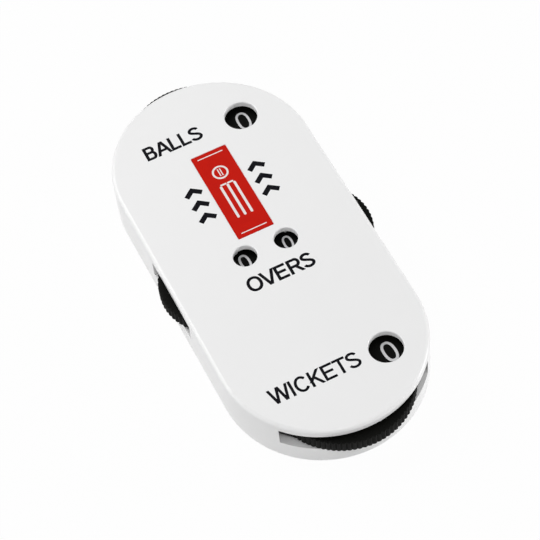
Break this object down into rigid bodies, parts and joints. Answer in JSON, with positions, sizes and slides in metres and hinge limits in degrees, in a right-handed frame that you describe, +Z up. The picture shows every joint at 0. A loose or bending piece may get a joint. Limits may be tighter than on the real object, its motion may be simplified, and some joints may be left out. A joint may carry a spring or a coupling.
{
  "type": "umpire counter",
  "caption": "Hand-held umpire counter: flat rounded case with thumb-turned knurled number dials that click round under windows in the face.",
  "frame": {"origin": "middle of the underside, on the surface that the counter lies on", "axes": "+Z up through the face, +Y towards the balls end, +X to the reader's right"},
  "size_m": [0.0456, 0.0934, 0.0114],
  "materials": {
    "case_plastic": "glossy moulded white",
    "dial_plastic": "moulded black, knurled rim",
    "label_print": "printed red film",
    "screw_steel": "zinc plated",
    "pivot_steel": "plain turned",
    "washer_brass": "plain stamped",
    "spring_steel": "rolled strip"
  },
  "bodies": {
    "case": {"base": "case_plastic", "cover": "case_plastic", "front_label": "label_print", "case_screws": "screw_steel", "balls_pivot": "pivot_steel", "balls_washer": "washer_brass", "balls_click_spring": "spring_steel", "overs_tens_pivot": "pivot_steel", "overs_tens_washer": "washer_brass", "overs_tens_click_spring": "spring_steel", "overs_units_pivot": "pivot_steel", "overs_units_washer": "washer_brass", "overs_units_click_spring": "spring_steel", "wickets_pivot": "pivot_steel", "wickets_washer": "washer_brass", "wickets_click_spring": "spring_steel"},
    "balls_dial": {"balls_dial": "dial_plastic"},
    "overs_tens_dial": {"overs_tens_dial": "dial_plastic"},
    "overs_units_dial": {"overs_units_dial": "dial_plastic"},
    "wickets_dial": {"wickets_dial": "dial_plastic"}
  },
  "joints": [
    {"name": "balls_turn", "type": "hinge", "parent": "case", "child": "balls_dial", "pos_m": [0, 0.0322, 0.0074], "axis": [0, 0, 1], "continuous": true},
    {"name": "overs_tens_turn", "type": "hinge", "parent": "case", "child": "overs_tens_dial", "pos_m": [-0.01185, 0, 0.0074], "axis": [0, 0, 1], "continuous": true},
    {"name": "overs_units_turn", "type": "hinge", "parent": "case", "child": "overs_units_dial", "pos_m": [0.01185, 0, 0.0074], "axis": [0, 0, 1], "continuous": true},
    {"name": "wickets_turn", "type": "hinge", "parent": "case", "child": "wickets_dial", "pos_m": [0, -0.0322, 0.0074], "axis": [0, 0, 1], "continuous": true}
  ]
}
